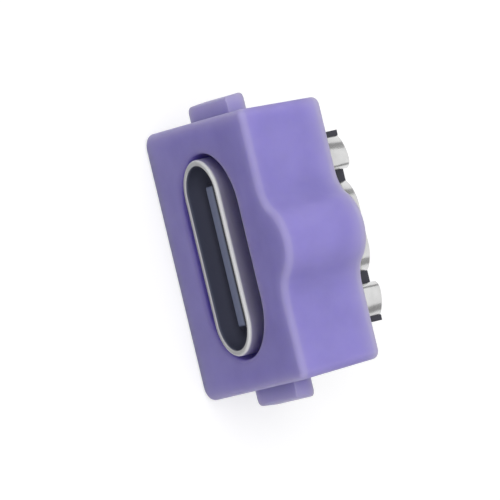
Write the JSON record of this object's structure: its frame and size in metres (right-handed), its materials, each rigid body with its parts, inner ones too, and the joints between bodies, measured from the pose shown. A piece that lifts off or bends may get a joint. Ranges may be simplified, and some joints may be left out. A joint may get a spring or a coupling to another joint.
{
  "type": "usb-c socket",
  "caption": "Snap-in USB-C power socket: moulded housing with a bump and end tabs round a drawn metal shell, with a contact tongue inside and solder terminals at the rear.",
  "frame": {"origin": "centre of the mating mouth, in the plane of the shell's rim", "axes": "+X along the long side of the mouth, +Y into the socket, +Z towards the housing's bump; the flat side is down"},
  "size_m": [0.0138, 0.0065, 0.0109],
  "materials": {
    "housing_plastic": "soft gloss, moulded",
    "shell_metal": "bright nickel plate",
    "tongue_plastic": "matt, moulded",
    "plate_steel": "stamped sheet",
    "carrier_plastic": "matt, moulded",
    "insulator_plastic": "matt, moulded",
    "contact_gold": "gold plate",
    "terminal_metal": "bright tin plate"
  },
  "bodies": {
    "root": {"housing": "housing_plastic", "shell": "shell_metal", "tongue": "tongue_plastic", "mid_plate": "plate_steel", "upper_carrier": "carrier_plastic", "lower_carrier": "carrier_plastic", "rear_insulator": "insulator_plastic", "power_contact_upper_left": "contact_gold", "power_contact_upper_right": "contact_gold", "power_contact_lower_left": "contact_gold", "power_contact_lower_right": "contact_gold", "ground_contact_upper_left": "contact_gold", "ground_contact_upper_right": "contact_gold", "ground_contact_lower_left": "contact_gold", "ground_contact_lower_right": "contact_gold", "power_terminal": "terminal_metal", "ground_terminal_left": "terminal_metal", "ground_terminal_right": "terminal_metal"}
  },
  "joints": []
}
